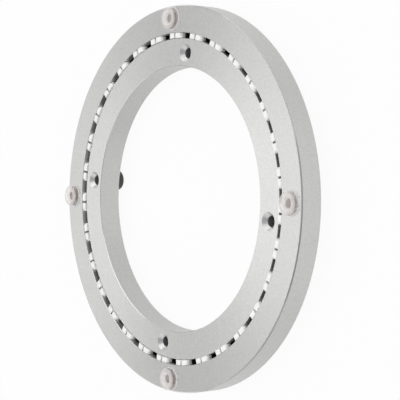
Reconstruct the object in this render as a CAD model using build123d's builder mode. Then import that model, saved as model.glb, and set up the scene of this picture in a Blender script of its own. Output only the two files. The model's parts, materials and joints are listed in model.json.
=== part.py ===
"""A flat turntable bearing of two concentric aluminium rings.

The rings turn on one row of steel balls, which a snap-in plastic cage keeps apart. Screws go down
through the inner ring and its rubber feet, and clear pads on the outer ring carry the turning top.
The outer ring stands a step higher, so that the top and the base each touch only their own ring.

Millimetres, with +Z up. The origin is on the bearing's axis, at the level the feet stand on.
"""

import os

from build123d import *

# Rings, from the rim inwards
outer_diameter = 140.0
outer_ring_width = 9.85
ring_gap = 2.05
inner_ring_width = 9.95
ring_thickness = 8.7
ring_step = 0.7
rim_chamfer = 0.4
bore_chamfer = 0.15
gap_chamfer = 0.1

# Balls, which run midway between the rings
ball_diameter = 4.76
ball_count = 31
first_ball_angle = 3.4
race_clearance = 0.05

# Cage
cage_side_clearance = 0.1
cage_recess = 0.1
cage_base_height = 1.0
clip_wall = 1.22
clip_shoulder_radius = 1.4
clip_slit_width = 0.8
clip_tip_radius = 0.25
pocket_clearance = 0.1

# Countersunk screw holes in the inner ring, placed from its bore
screw_inset = 4.75
screw_hole_count = 4
screw_hole_diameter = 3.7
countersink_width = 1.4
countersink_angle = 90.0

# Rubber feet around the screw holes
foot_wall = 2.0
foot_height = 3.05
foot_edge_radius = 0.9
foot_bore_clearance = 0.1

# Clear pads plugged into the outer ring, placed from its rim
pad_inset = 4.75
pad_count = 4
first_pad_angle = 6.9
pad_hole_diameter = 4.4
pad_diameter = 7.9
pad_height = 2.65
pad_lip_width = 1.7
pad_lip_height = 0.6
pad_lip_radius = 0.4
pad_waist_depth = 0.45
pad_flange_width = 0.35
pad_flange_height = 0.8
pad_flange_radius = 0.25
pad_dish_depth = 1.2
pad_dish_taper = 0.8
plug_clearance = 0.05
plug_recess = 2.0
plug_lead = 0.5

# Levels and radii that follow from the sizes above
inner_bottom = foot_height
inner_top = inner_bottom + ring_thickness
outer_bottom = inner_bottom + ring_step
outer_top = inner_top + ring_step
race_level = (inner_bottom + outer_top) / 2
outer_radius = outer_diameter / 2
outer_wall_radius = outer_radius - outer_ring_width
inner_wall_radius = outer_wall_radius - ring_gap
bore_radius = inner_wall_radius - inner_ring_width
pad_circle_radius = outer_radius - pad_inset
ball_circle_radius = (outer_wall_radius + inner_wall_radius) / 2
screw_circle_radius = bore_radius + screw_inset
ball_radius = ball_diameter / 2
screw_hole_radius = screw_hole_diameter / 2
cage_bottom = inner_bottom + cage_recess
cage_top = outer_top - cage_recess
cage_inner_radius = inner_wall_radius + cage_side_clearance
cage_outer_radius = outer_wall_radius - cage_side_clearance

os.makedirs("parts", exist_ok=True)


def ring_section(inner_edge, outer_edge, bottom, inner_chamfer, outer_chamfer):
    """Half section of a ring, with a ball race in the wall that faces the gap."""
    with BuildSketch(Plane.XZ) as section:
        with Locations((inner_edge, bottom)):
            Rectangle(outer_edge - inner_edge, ring_thickness, align=(Align.MIN, Align.MIN))
        inner_corners, outer_corners = section.vertices().group_by(Axis.X)
        chamfer(inner_corners, inner_chamfer)
        chamfer(outer_corners, outer_chamfer)
        with Locations((ball_circle_radius, race_level)):
            Circle(ball_radius + race_clearance, mode=Mode.SUBTRACT)
    return section.sketch


def polar_places(circle_radius, height, count, first_angle=0):
    """Places spread evenly round a circle about the bearing's axis."""
    circle = PolarLocations(circle_radius, count, start_angle=first_angle)
    return [Location((0, 0, height)) * place for place in circle]


def export_copies(piece, name, places):
    """Write one piece to a numbered file for each of its places."""
    for number, place in enumerate(places, start=1):
        copy = piece.moved(place)
        copy.label = f"{name}_{number:02d}"
        export_step(copy, f"parts/{copy.label}.step")


screw_places = polar_places(screw_circle_radius, inner_top, screw_hole_count)
foot_places = polar_places(screw_circle_radius, 0, screw_hole_count)
pad_places = polar_places(pad_circle_radius, outer_top, pad_count, first_pad_angle)
ball_places = polar_places(ball_circle_radius, race_level, ball_count, first_ball_angle)

# Inner ring: turned section, then screw holes countersunk from the top
with BuildPart() as inner_ring:
    add(ring_section(bore_radius, inner_wall_radius, inner_bottom, bore_chamfer, gap_chamfer))
    revolve(axis=Axis.Z)
    with Locations(*screw_places):
        CounterSinkHole(
            radius=screw_hole_radius,
            counter_sink_radius=screw_hole_radius + countersink_width,
            counter_sink_angle=countersink_angle,
        )
inner_ring.part.label = "inner_ring"
export_step(inner_ring.part, "parts/inner_ring.step")

# Outer ring: turned section, then plain holes for the pads' plugs
with BuildPart() as outer_ring:
    add(ring_section(outer_wall_radius, outer_radius, outer_bottom, gap_chamfer, rim_chamfer))
    revolve(axis=Axis.Z)
    with Locations(*pad_places):
        Hole(radius=pad_hole_diameter / 2)
outer_ring.part.label = "outer_ring"
export_step(outer_ring.part, "parts/outer_ring.step")

# One clip of the cage: a round-shouldered block, bored for its ball and slit open at the top
pocket_radius = ball_radius + pocket_clearance
clip_width = 2 * (pocket_radius + clip_wall)
clip_height = cage_top - cage_bottom
with BuildPart() as clip:
    with BuildSketch(Plane.YZ) as clip_section:
        with Locations((0, cage_bottom + clip_height / 2)):
            Rectangle(clip_width, clip_height)
        fillet(clip_section.vertices().group_by(Axis.Y)[-1], clip_shoulder_radius)
        with Locations((0, race_level)):
            Rectangle(
                clip_slit_width,
                cage_top - race_level,
                align=(Align.CENTER, Align.MIN),
                mode=Mode.SUBTRACT,
            )
        tips = clip_section.vertices().group_by(Axis.Y)[-1].sort_by(Axis.X)[1:3]
        fillet(tips, clip_tip_radius)
        with Locations((0, race_level)):
            Circle(pocket_radius, mode=Mode.SUBTRACT)
    extrude(amount=outer_radius)
    with BuildSketch(Plane.XY.offset(cage_bottom)):
        Circle(cage_outer_radius)
        Circle(cage_inner_radius, mode=Mode.SUBTRACT)
    extrude(amount=clip_height, mode=Mode.INTERSECT)

# Cage: a thin base ring with a clip standing on it at every ball
with BuildPart() as ball_cage:
    with BuildSketch(Plane.XY.offset(cage_bottom)):
        Circle(cage_outer_radius)
        Circle(cage_inner_radius, mode=Mode.SUBTRACT)
    extrude(amount=cage_base_height)
    with PolarLocations(0, ball_count, start_angle=first_ball_angle):
        add(clip.part)
ball_cage.part.label = "ball_cage"
export_step(ball_cage.part, "parts/ball_cage.step")

# Steel balls, one to each clip
with BuildPart() as ball:
    Sphere(ball_radius)
export_copies(ball.part, "ball", ball_places)

# Rubber foot: a short bush that the screw passes through
with BuildPart() as rubber_foot:
    with BuildSketch(Plane.XZ) as foot_section:
        with Locations((screw_hole_radius + foot_bore_clearance, 0)):
            Rectangle(foot_wall, foot_height, align=(Align.MIN, Align.MIN))
        fillet(foot_section.vertices().group_by(Axis.Y)[0].sort_by(Axis.X)[-1], foot_edge_radius)
    revolve(axis=Axis.Z)
export_copies(rubber_foot.part, "rubber_foot", foot_places)

# Clear pad: plug, flange, waisted body and dished lip, drawn as one half section
pad_radius = pad_diameter / 2
flange_radius = pad_radius + pad_flange_width
dish_radius = pad_radius - pad_lip_width
dish_floor = pad_height - pad_dish_depth
lip_bottom = pad_height - pad_lip_height
waist_middle = (pad_flange_height + lip_bottom) / 2
plug_radius = pad_hole_diameter / 2 - plug_clearance
plug_end = plug_recess - ring_thickness
with BuildPart() as clear_pad:
    with BuildSketch(Plane.XZ) as pad_section:
        with BuildLine():
            Polyline(
                (pad_radius, lip_bottom),
                (pad_radius, pad_height),
                (dish_radius, pad_height),
                (dish_radius - pad_dish_taper, dish_floor),
                (0, dish_floor),
                (0, plug_end),
                (plug_radius - plug_lead, plug_end),
                (plug_radius, plug_end + plug_lead),
                (plug_radius, 0),
                (flange_radius, 0),
                (flange_radius, pad_flange_height),
                (pad_radius, pad_flange_height),
            )
            ThreePointArc(
                (pad_radius, pad_flange_height),
                (pad_radius - pad_waist_depth, waist_middle),
                (pad_radius, lip_bottom),
            )
        make_face()
        fillet(pad_section.vertices().group_by(Axis.Y)[-1], pad_lip_radius)
        fillet(pad_section.vertices().group_by(Axis.X)[-1], pad_flange_radius)
    revolve(axis=Axis.Z)
export_copies(clear_pad.part, "clear_pad", pad_places)
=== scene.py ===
# %% [markdown]
# # A turntable bearing in satin aluminium
# This lesson dresses a flat turntable bearing, the kind that goes under a revolving tray. Two
# aluminium rings, one inside the other, turn on caged steel balls. The outer ring stands a little
# higher and carries the tray on clear pads, and the inner one is screwed down on rubber feet. The
# solids come ready made and at their real size, in metres, so the work here is the finish of each
# surface, the light and the camera.

# %% Load the solids
import json
import math

import bpy
from mathutils import Matrix, Vector


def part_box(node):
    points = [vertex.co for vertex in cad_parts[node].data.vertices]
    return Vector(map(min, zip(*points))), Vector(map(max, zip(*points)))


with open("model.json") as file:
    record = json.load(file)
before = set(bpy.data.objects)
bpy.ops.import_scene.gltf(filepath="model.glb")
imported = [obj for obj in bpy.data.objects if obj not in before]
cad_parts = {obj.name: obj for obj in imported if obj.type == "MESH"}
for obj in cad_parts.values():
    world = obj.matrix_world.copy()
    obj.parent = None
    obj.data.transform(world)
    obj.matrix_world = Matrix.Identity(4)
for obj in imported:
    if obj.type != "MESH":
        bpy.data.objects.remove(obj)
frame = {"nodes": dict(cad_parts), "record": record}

scene = bpy.context.scene
nodes = frame["nodes"]
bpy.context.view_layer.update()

# %% [markdown]
# The finishes below need a few places on the bearing: where the rings meet and end, where the screws
# go through, and where the pads stand. They could be typed in, but all of them can be read from the
# solids and their record, so that the looks follow if the bearing is made in another size.

# %% Measure the bearing
MM = 0.001

# A piece's box has a low corner and a high one
ring_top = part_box("outer_ring")[1].z
gap_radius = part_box("inner_ring")[1].x
bore_radius = min(math.hypot(v.co.x, v.co.y) for v in nodes["inner_ring"].data.vertices)
screw_holes = next(m for m in frame["record"]["mounts"] if m["name"] == "screw_holes")
screw_circle_radius = screw_holes["dims"]["pcd_mm"] / 2 * MM
screw_hole_radius = screw_holes["dims"]["hole_r_mm"] * MM
pad_low, pad_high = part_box("clear_pad_01")
pad_centre = (pad_low + pad_high) / 2
pad_circle_radius = math.hypot(pad_centre.x, pad_centre.y)
first_pad_angle = math.atan2(pad_centre.y, pad_centre.x)
print(f"bore radius {bore_radius / MM:.1f} mm, gap radius {gap_radius / MM:.1f} mm")
print(f"outer ring's top at {ring_top / MM:.2f} mm")
print(f"screw circle radius {screw_circle_radius / MM:.1f} mm, hole radius {screw_hole_radius / MM:.2f} mm")
print(f"pad circle radius {pad_circle_radius / MM:.1f} mm, "
      f"first pad at {math.degrees(first_pad_angle):.1f} degrees")

# %% [markdown]
# The picture looks down on the bearing from its +X side with the camera turned on its side, so that
# +Y points up in the picture and the ring seems to stand on its edge. Three rotation angles could say
# that, but they are hard to read. A matrix is easier: it needs only the place, the point the camera
# looks at, and which way is up.

# %% Camera
camera_place = Vector((391.5, 58.8, 306.3)) * MM
aim_point = Vector((16.2, 2.0, 12.45)) * MM
picture_up = Vector((-0.1424, 0.9897, -0.0105))
lens_mm = 122.4
nearest_seen = 10 * MM

camera = bpy.data.objects.new("camera", bpy.data.cameras.new("camera"))
scene.collection.objects.link(camera)
camera.data.lens = lens_mm
camera.data.clip_start = nearest_seen
backward = (camera_place - aim_point).normalized()
rightward = picture_up.cross(backward).normalized()
upward = backward.cross(rightward)
turned = Matrix((rightward, upward, backward)).transposed().to_4x4()
camera.matrix_world = Matrix.Translation(camera_place) @ turned
scene.camera = camera
print(f"camera {(camera_place - aim_point).length:.3f} m from its aim point")

# %% [markdown]
# A finish is a small graph of nodes. Wiring each node by hand hides the idea behind the plumbing, so
# a small class does it here. `Wire` stands for one output of a node, with Python's own operators:
# `1 - mask * 0.2` then adds the Math nodes it needs.

# %% Shader maths in Python
class Wire:
    """An output socket of a finish, which can be used in Python expressions."""

    def __init__(self, finish, socket):
        self.finish = finish
        self.socket = socket

    def math(self, operation, *values):
        """A Math node with this wire as its first value."""
        inputs = dict(enumerate((self, *values)))
        return self.finish.node("Math", {"operation": operation}, inputs)

    def __add__(self, other):
        return self.math("ADD", other)

    def __sub__(self, other):
        return self.math("SUBTRACT", other)

    def __rsub__(self, other):
        return self.finish.node("Math", {"operation": "SUBTRACT"}, {0: other, 1: self})

    def __mul__(self, other):
        return self.math("MULTIPLY", other)

    def __pow__(self, power):
        return self.math("POWER", power)

    def __abs__(self):
        return self.math("ABSOLUTE")

    def step(self, low, high):
        """0 below low, 1 above high, and a smooth rise between them; high may be the lower one."""
        return self.finish.node("MapRange", {"interpolation_type": "SMOOTHSTEP"},
                                {"Value": self, "From Min": low, "From Max": high})

    __radd__ = __add__
    __rmul__ = __mul__


# %% [markdown]
# `Finish` is the graph itself. Each kind of node could get a function of its own, but one method that
# takes a node's type, its settings and its sockets serves them all. The methods after it only give
# plain names to what the finishes use most: places, noise, blends and bumps.

# %% A graph of nodes
class Finish:
    """The node graph of a material, or of the world's light."""

    def __init__(self, name, kind="materials"):
        self.owner = getattr(bpy.data, kind).new(name)
        self.owner.use_nodes = True
        self.tree = self.owner.node_tree
        self.tree.nodes.clear()

    def node(self, kind, settings=None, inputs=None, output=0):
        """Add a node, set it up, fill or link its sockets, and return one of its outputs."""
        made = self.tree.nodes.new("ShaderNode" + kind)
        for name, value in (settings or {}).items():
            setattr(made, name, value)
        for name, value in (inputs or {}).items():
            if isinstance(value, Wire):
                self.tree.links.new(value.socket, made.inputs[name])
            else:
                made.inputs[name].default_value = value
        return Wire(self, made.outputs[output]) if made.outputs else None

    def place(self):
        """The point being shaded, in metres, in the piece's own frame."""
        return self.node("TexCoord", output="Object")

    def coordinate(self, vector, axis):
        """One coordinate of a vector: 0 is x, 1 is y and 2 is z."""
        return self.node("SeparateXYZ", inputs={0: vector}, output=axis)

    def noise(self, grain, vector, detail=2.0):
        """Soft noise from 0 to 1 whose blotches are about grain metres across."""
        return self.node("TexNoise", inputs={"Vector": vector, "Scale": 1 / grain, "Detail": detail})

    def rings(self, pitch, across):
        """Noise that changes only along one length, such as the radius, as tool marks do."""
        return self.node("TexNoise", {"noise_dimensions": "1D"},
                         {"W": across, "Scale": 1 / pitch, "Detail": 2.0})

    def blend(self, factor, first, second):
        """The first colour where factor is 0, the second where it is 1."""
        return self.node("Mix", {"data_type": "RGBA"}, {0: factor, 6: first, 7: second}, output=2)

    def bump(self, height, depth):
        """A normal for a surface that rises by depth metres where height is 1."""
        return self.node("Bump", inputs={"Height": height, "Distance": depth, "Strength": 1.0})

    def shader(self, **inputs):
        """A Principled shader, with an underscore for each space in a socket's name."""
        return self.node("BsdfPrincipled", inputs={k.replace("_", " "): v for k, v in inputs.items()})

    def mix(self, factor, first, second):
        """The first shader where factor is 0, the second where it is 1."""
        return self.node("MixShader", inputs={0: factor, 1: first, 2: second})

    def finish(self, surface, output="OutputMaterial"):
        """Close the graph with a shader, and return the material or world it belongs to."""
        self.node(output, inputs={"Surface": surface})
        print(f"finish {self.owner.name}: {len(self.tree.nodes)} nodes")
        return self.owner


# %% [markdown]
# Pieces of one kind share a finish. The solids could be dressed one by one, but their names tell the
# kinds apart, so the start of a name is enough to find them all. Only the material in a solid's
# slot changes, and its shape stays as it came.

# %% Dress the solids
def dress(material, *names):
    """Give a finish to every solid whose name starts with one of these."""
    dressed = [node for name, node in nodes.items() if name.startswith(names)]
    for node in dressed:
        for slot in node.material_slots:
            slot.material = material
    print(f"{material.name} on {len(dressed)} solids")


# %% [markdown]
# The screw holes and the pads come in fours, evenly round the bearing. A finish that changes near
# each of them could ask for four distances, but the absolute values of X and Y fold the plane so that
# the four lie on each other, and then one distance is enough.

# %% Fold four places onto one
def from_nearest_of_four(x, y, circle_radius):
    """The distance to the nearest of four places on the X and Y axes, all that far from the middle."""
    x, y = abs(x), abs(y)
    across = x.math("MAXIMUM", y) - circle_radius
    along = x.math("MINIMUM", y)
    return (across * across + along * along) ** 0.5


# %% [markdown]
# The rings are turned from aluminium, then blasted and anodised to a pale satin grey. Turning leaves
# fine grooves round the axis, which spread reflections across themselves: that is why one side of
# each face looks bright and the next one dull. Fine geometry could do that, but the Principled shader
# has it in its Anisotropic value, and its default tangent already runs round Z. The flat faces, the
# outer ring's face the most, and the bore's wall are painted a little darker than the other walls, as
# painted shade. The noise adds the grain of the blasting and faint tool marks.

# %% Satin metal
wall_tone = 0.605
# Painted shade: how much darker the flat faces, the outer ring's face and the bore's wall are made
face_shade = 0.025
outer_face_shade = 0.04
bore_shade = 0.02
satin_roughness = 0.44
blast_grain = 0.6 * MM
cloud_size = 14 * MM


def satin_metal(finish, place, radius, flatness, tool_marks, fine_marks):
    grain = finish.noise(blast_grain, place, detail=3.0)
    clouds = finish.noise(cloud_size, place)
    outer = radius.step(gap_radius - 0.5 * MM, gap_radius + 0.5 * MM)
    bore = radius.step(bore_radius + 0.1 * MM, bore_radius + 0.05 * MM)
    # Painted shade: flat faces darker, the outer ring's face the most, and the bore's wall darker too
    painted_face_shade = flatness.step(0.9, 0.98) * (face_shade + outer_face_shade * outer)
    speckle = 0.22 * (grain - 0.5) + 0.03 * (tool_marks - 0.5) + 0.03 * (clouds - 0.5)
    tone = wall_tone - painted_face_shade - bore_shade * bore + speckle
    return finish.shader(
        Base_Color=finish.node("CombineColor", inputs={0: tone * 1.003, 1: tone, 2: tone * 0.988}),
        Metallic=1.0,
        Roughness=satin_roughness + 0.08 * (grain - 0.5) + 0.06 * (clouds - 0.5),
        Anisotropic=0.75,
        Anisotropic_Rotation=0.25,
        Normal=finish.bump(grain + 0.5 * fine_marks, 0.004 * MM),
    )


print(f"satin: walls {wall_tone:.3f}, faces {wall_tone - face_shade:.3f}, bore {wall_tone - bore_shade:.3f}")

# %% [markdown]
# The edges and the countersinks are cut after the blasting, so they are brighter and smoother than
# the rest, and the countersinks keep a little more of the cutter's marks. The screw holes are rough
# inside, and their walls are painted dark grey as painted shade. One shader with many masks could hold
# all of it, but these metals differ from the satin in every value, so each is a shader of its own.

# %% Cut and drilled metal
cut_tone = 0.78
cut_roughness = 0.16
added_roughness = 0.16
countersink_width = 1.4 * MM


def grey(level):
    return (level, level, level, 1.0)


def cut_metal(finish, fine_marks, from_hole):
    rim = screw_hole_radius + countersink_width
    countersunk = from_hole.step(rim + 0.6 * MM, rim + 0.2 * MM)
    tone = cut_tone + 0.06 * (fine_marks - 0.5)
    return finish.shader(
        Base_Color=finish.node("CombineColor", inputs={0: tone, 1: tone, 2: tone}),
        Metallic=1.0,
        Roughness=cut_roughness + 0.1 * (fine_marks - 0.5) + added_roughness * countersunk,
    )


def drilled_metal(finish, fine_marks):
    # Painted shade: the walls of the screw holes are painted dark grey
    painted_hole_shade = finish.blend(fine_marks, grey(0.2), grey(0.45))
    return finish.shader(Base_Color=painted_hole_shade, Metallic=0.6, Roughness=0.4)


print(f"countersinks {2 * (screw_hole_radius + countersink_width) / MM:.1f} mm wide")

# %% [markdown]
# One finish serves both rings. It could be painted face by face, but the surface itself tells which
# metal shows: the upright part of its normal is 1 on a flat face, 0 on a wall and in between on a cut
# edge, and the distance from the nearest screw tells where the metal is drilled. The marks of the
# lathe run round the axis, so they change only along the section, with the radius and the height.

# %% Ring aluminium
tool_mark_pitch = 0.35 * MM
fine_mark_pitch = 0.08 * MM


def ring_aluminium():
    finish = Finish("satin_aluminium")
    place = finish.place()
    x, y, z = (finish.coordinate(place, axis) for axis in range(3))
    radius = (x * x + y * y) ** 0.5
    tool_marks = finish.rings(tool_mark_pitch, radius + z)
    fine_marks = finish.rings(fine_mark_pitch, radius + z)
    flatness = abs(finish.coordinate(finish.node("TexCoord", output="Normal"), 2))
    from_hole = from_nearest_of_four(x, y, screw_circle_radius)
    satin = satin_metal(finish, place, radius, flatness, tool_marks, fine_marks)
    cut_edge = flatness.step(0.3, 0.4) * flatness.step(0.96, 0.9)
    turned_metal = finish.mix(cut_edge, satin, cut_metal(finish, fine_marks, from_hole))
    drilled = from_hole.step(screw_hole_radius + 0.03 * MM, screw_hole_radius - 0.01 * MM)
    return finish.finish(finish.mix(drilled, turned_metal, drilled_metal(finish, fine_marks)))


dress(ring_aluminium(), "outer_ring", "inner_ring")

# %% [markdown]
# The cage is one moulding of white nylon. Nylon lets a little light in below its surface, which
# softens the shade at edges, and the mould leaves it with a fine matte skin. Only the tops of the
# clips stay white: further down, the cage is painted nearly black, as painted shade in the gap between
# the rings. A second material could show that dark, but the moulding is one piece and its height tells
# the two apart.

# %% White nylon
cage_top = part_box("ball_cage")[1].z
# Painted shade: below this depth from the top the cage is painted nearly black
white_depth = 2.1 * MM
shade_edge = 0.3 * MM
light_depth = 1.0 * MM
fresh_white = (0.99, 0.985, 0.965, 1.0)
aged_white = (0.965, 0.96, 0.935, 1.0)
painted_gap_shade = grey(0.03)


def white_nylon():
    finish = Finish("white_nylon")
    place = finish.place()
    skin = finish.noise(0.12 * MM, place, detail=3.0)
    clouds = finish.noise(5 * MM, place)
    shade_line = cage_top - white_depth
    # Painted shade: the mask of the nearly black lower cage
    shaded_below = finish.coordinate(place, 2).step(shade_line, shade_line - shade_edge)
    return finish.finish(finish.shader(
        Base_Color=finish.blend(shaded_below, finish.blend(clouds, fresh_white, aged_white), painted_gap_shade),
        Roughness=0.42 + 0.12 * (skin - 0.5),
        Subsurface_Weight=0.4,
        Subsurface_Radius=(light_depth, light_depth, light_depth),
        Subsurface_Scale=1.0,
        Normal=finish.bump(skin, 0.005 * MM),
    ))


dress(white_nylon(), "ball_cage")

# %% [markdown]
# Bearing balls are ground and lapped to a mirror. They could have scratches and a film of grease, but
# only slivers of them show through the slits, so a plain bright metal with a breath of oil in its
# roughness is enough.

# %% Lapped steel
def lapped_steel():
    finish = Finish("lapped_steel")
    oil = finish.noise(1.5 * MM, finish.place())
    colour = finish.blend(oil, grey(0.62), grey(0.56))
    return finish.finish(finish.shader(Base_Color=colour, Metallic=1.0, Roughness=0.06 + 0.1 * oil))


dress(lapped_steel(), "ball_0", "ball_1", "ball_2", "ball_3")

# %% [markdown]
# The pads are soft clear silicone, a little milky, and pressed into holes of the outer ring. Their
# body scatters light deep below its surface. The floor of the dish is painted dark, as a painted view
# of the dark hole below it, and the lip, the flank and the waist are painted a little grey, as painted
# shade where a pad turns away from the light and clear rubber bends the view towards darker things.
# Real refraction could do it too, but it would be noisy in pieces this small.

# %% Milky silicone
pale_milk = (0.925, 0.845, 0.815, 1.0)
thin_milk = (0.895, 0.805, 0.775, 1.0)
# Painted dark: the view of the hole below the dish floor, and painted shade on lip, flank and waist
painted_hole_view = (0.44, 0.385, 0.37, 1.0)
painted_turned_shade = (0.33, 0.285, 0.27, 1.0)


def milky_silicone(finish, place, dish_floor, shade):
    milk = finish.noise(1.2 * MM, place)
    skin = finish.noise(0.15 * MM, place)
    # The dish floor is painted dark for the hole below it, and lip, flank and waist grey as painted shade
    over_hole = finish.blend(dish_floor, finish.blend(milk, pale_milk, thin_milk), painted_hole_view)
    return finish.shader(
        Base_Color=finish.blend(shade, over_hole, painted_turned_shade),
        Roughness=0.25 + 0.1 * (skin - 0.5),
        IOR=1.41,
        Subsurface_Weight=1.0,
        Subsurface_Radius=(6.0 * MM, 5.7 * MM, 5.5 * MM),
        Subsurface_Scale=1.0,
        Normal=finish.bump(skin, 0.004 * MM),
    )


print("milk from", pale_milk[:3], "to", thin_milk[:3])

# %% [markdown]
# Clear pads pass light on instead of blocking it, so they throw almost no shadow: every ray but the
# camera's goes nearly straight through, and so does any ray that meets a surface from inside. The
# camera sees the milk, and through it a share of what lies behind: most at the waist and least at the
# flange, which lies flat on the ring. Each of these could be a piece of its own, but a pad is one
# moulding, and the height above the ring and the distance from the pad's axis tell them apart.

# %% Clear pads
pad_radius = 3.95 * MM
dish_radius = 2.25 * MM
dish_floor_radius = 1.45 * MM
dish_floor_height = 1.45 * MM
lip_bottom = 2.05 * MM
flange_top = 0.8 * MM

lip_shade = 0.34
flank_shade = 0.15
waist_shade = 0.26
free_share = 0.95
camera_loss = 0.72
flange_loss = 0.1
waist_gain = 0.4


def clear_silicone():
    finish = Finish("clear_silicone")
    place = finish.place()
    x, y, z = (finish.coordinate(place, axis) for axis in range(3))
    cos, sin = math.cos(first_pad_angle), math.sin(first_pad_angle)
    from_axis = from_nearest_of_four(x * cos + y * sin, y * cos - x * sin, pad_circle_radius)
    height = z - ring_top
    above_flange = height.step(flange_top - 0.05 * MM, flange_top + 0.2 * MM)
    flange = height.step(flange_top + 0.05 * MM, flange_top - 0.1 * MM)
    lip = above_flange * from_axis.step(dish_radius + 0.05 * MM, dish_radius + 0.55 * MM)
    flank = above_flange * from_axis.step(pad_radius - 0.8 * MM, pad_radius - 0.35 * MM)
    waist = flank * height.step(lip_bottom + 0.45 * MM, lip_bottom + 0.05 * MM)
    low_in_dish = height.step(dish_floor_height + 0.35 * MM, dish_floor_height + 0.05 * MM)
    near_axis = from_axis.step(dish_floor_radius + 0.2 * MM, dish_floor_radius - 0.05 * MM)
    # Painted shade on the lip, the flank and the waist
    shade = lip_shade * lip + flank_shade * flank + waist_shade * waist
    body = milky_silicone(finish, place, low_in_dish * near_axis, shade)
    seen = finish.node("LightPath", output="Is Camera Ray")
    inside = finish.node("NewGeometry", output="Backfacing")
    passing = free_share - (camera_loss + flange_loss * flange - waist_gain * waist) * seen
    clear = finish.node("BsdfTransparent")
    return finish.finish(finish.mix(passing.math("MAXIMUM", inside), body, clear))


dress(clear_silicone(), "clear_pad")

# %% [markdown]
# The feet are black rubber bushes. They leave the mould with a slight shine and then gather dust, so
# their grey and their gloss vary a little, and the skin has a fine grain. Dust could be painted on by
# hand, but noise at two scales gives both the dust and the skin.

# %% Black rubber
clean_rubber = grey(0.03)
dusty_rubber = grey(0.055)


def black_rubber():
    finish = Finish("black_rubber")
    place = finish.place()
    dust = finish.noise(0.8 * MM, place, detail=4.0)
    skin = finish.noise(0.1 * MM, place)
    return finish.finish(finish.shader(
        Base_Color=finish.blend(dust, clean_rubber, dusty_rubber),
        Roughness=0.25 + 0.15 * (dust - 0.5),
        Normal=finish.bump(skin, 0.01 * MM),
    ))


dress(black_rubber(), "rubber_foot")

# %% [markdown]
# The bearing lies on a white table. A lamp strong enough to make the table white would burn out the
# metal, so the table is white by itself: to the camera, and to mirrors and clear pieces, it is plain
# white. Other light falls on it as on any matte floor, and a share of that stays in what the camera
# sees, so that the bearing keeps its shadow.

# %% Table
white_share = 0.94
matte_floor = grey(0.85)
table_reach = 3.0


def white_table():
    finish = Finish("white_table")
    ray_kinds = ("Is Camera Ray", "Is Glossy Ray", "Is Transmission Ray")
    camera_ray, glossy_ray, clear_ray = (finish.node("LightPath", output=kind) for kind in ray_kinds)
    seen = camera_ray.math("MAXIMUM", glossy_ray).math("MAXIMUM", clear_ray)
    matte = finish.node("BsdfDiffuse", inputs={"Color": matte_floor})
    white = finish.node("Emission", inputs={"Color": grey(1.0), "Strength": 1.0})
    return finish.finish(finish.mix(seen * white_share, matte, white))


table_mesh = bpy.data.meshes.new("table")
corners = [(a * table_reach, b * table_reach, 0.0) for a, b in ((-1, -1), (1, -1), (1, 1), (-1, 1))]
table_mesh.from_pydata(corners, [], [(0, 1, 2, 3)])
table = bpy.data.objects.new("table", table_mesh)
scene.collection.objects.link(table)
table.data.materials.append(white_table())
print(f"table {2 * table_reach:.0f} m wide at z = 0")

# %% [markdown]
# The light is a soft studio. A picture of a real room could give it, but a gradient is easier to
# steer and smooth in every reflection. It runs from a pale wall on the far side to a dim end behind
# the camera. Towards the horizon it is evenly lit, so that no side of the bearing goes dark.

# %% Studio room
room_dim = 0.23
wall_bright = 0.79
dim_angle = math.radians(-25)
even_below = 0.5


def studio_room():
    room = Finish("studio", "worlds")
    direction = room.node("TexCoord", output="Generated")
    x, y, z = (room.coordinate(direction, axis) for axis in range(3))
    towards_dim = (x * math.cos(dim_angle) + y * math.sin(dim_angle)) * z.step(0.0, even_below)
    level = room_dim + (wall_bright - room_dim) * (0.5 - 0.5 * towards_dim)
    light = room.node("Background", inputs={"Color": grey(1.0), "Strength": level})
    return room.finish(light, "OutputWorld")


scene.world = studio_room()

# %% [markdown]
# One wide lamp hangs overhead, a little beyond the bearing, where the grooves throw its light at the
# camera from the near and far sides of the rings but not from the other two. Two long strips, tilted
# to follow the rim, draw the bright lines on its cut edge, and a low one behind the camera reaches
# into the gap between the rings. A lamp is given by the two ends of its middle line, because a strip
# that has to show in a rim is easier to place that way than by angles.

# %% Lamps
def soft_lamp(name, start, end, depth, radiance):
    """A flat lamp from start to end that faces the bearing, as bright to look at as that radiance."""
    start, end = Vector(start), Vector(end)
    middle, width = (start + end) / 2, (end - start).length
    along = (end - start).normalized()
    outward = (middle - middle.dot(along) * along).normalized()
    lamp = bpy.data.objects.new(name, bpy.data.lights.new(name, "AREA"))
    scene.collection.objects.link(lamp)
    lamp.data.shape = "RECTANGLE"
    lamp.data.size, lamp.data.size_y = width, depth
    lamp.data.energy = radiance * math.pi * width * depth
    facing = Matrix((along, outward.cross(along), outward)).transposed().to_4x4()
    lamp.matrix_world = Matrix.Translation(middle) @ facing
    print(f"{name}: {width:.2f} by {depth:.2f} m, {lamp.data.energy:.1f} W")


soft_lamp("overhead_lamp", start=(-0.35, -0.45, 0.85), end=(-0.35, 0.35, 0.85), depth=0.8, radiance=1.65)
soft_lamp("upper_strip", start=(-0.6, 0.87, 0.35), end=(0.52, 0.53, 0.87), depth=0.25, radiance=0.85)
soft_lamp("front_fill", start=(0.85, -0.8, 0.28), end=(0.85, 0.8, 0.28), depth=0.3, radiance=1.7)
soft_lamp("lower_strip", start=(-0.47, -0.96, 0.24), end=(0.46, -0.62, 0.74), depth=0.25, radiance=0.6)

# %% [markdown]
# Last come the colour settings. Blender's own view transform softens bright tones, and Standard shows
# each colour as it is written.

# %% Finish
scene.view_settings.view_transform = "Standard"
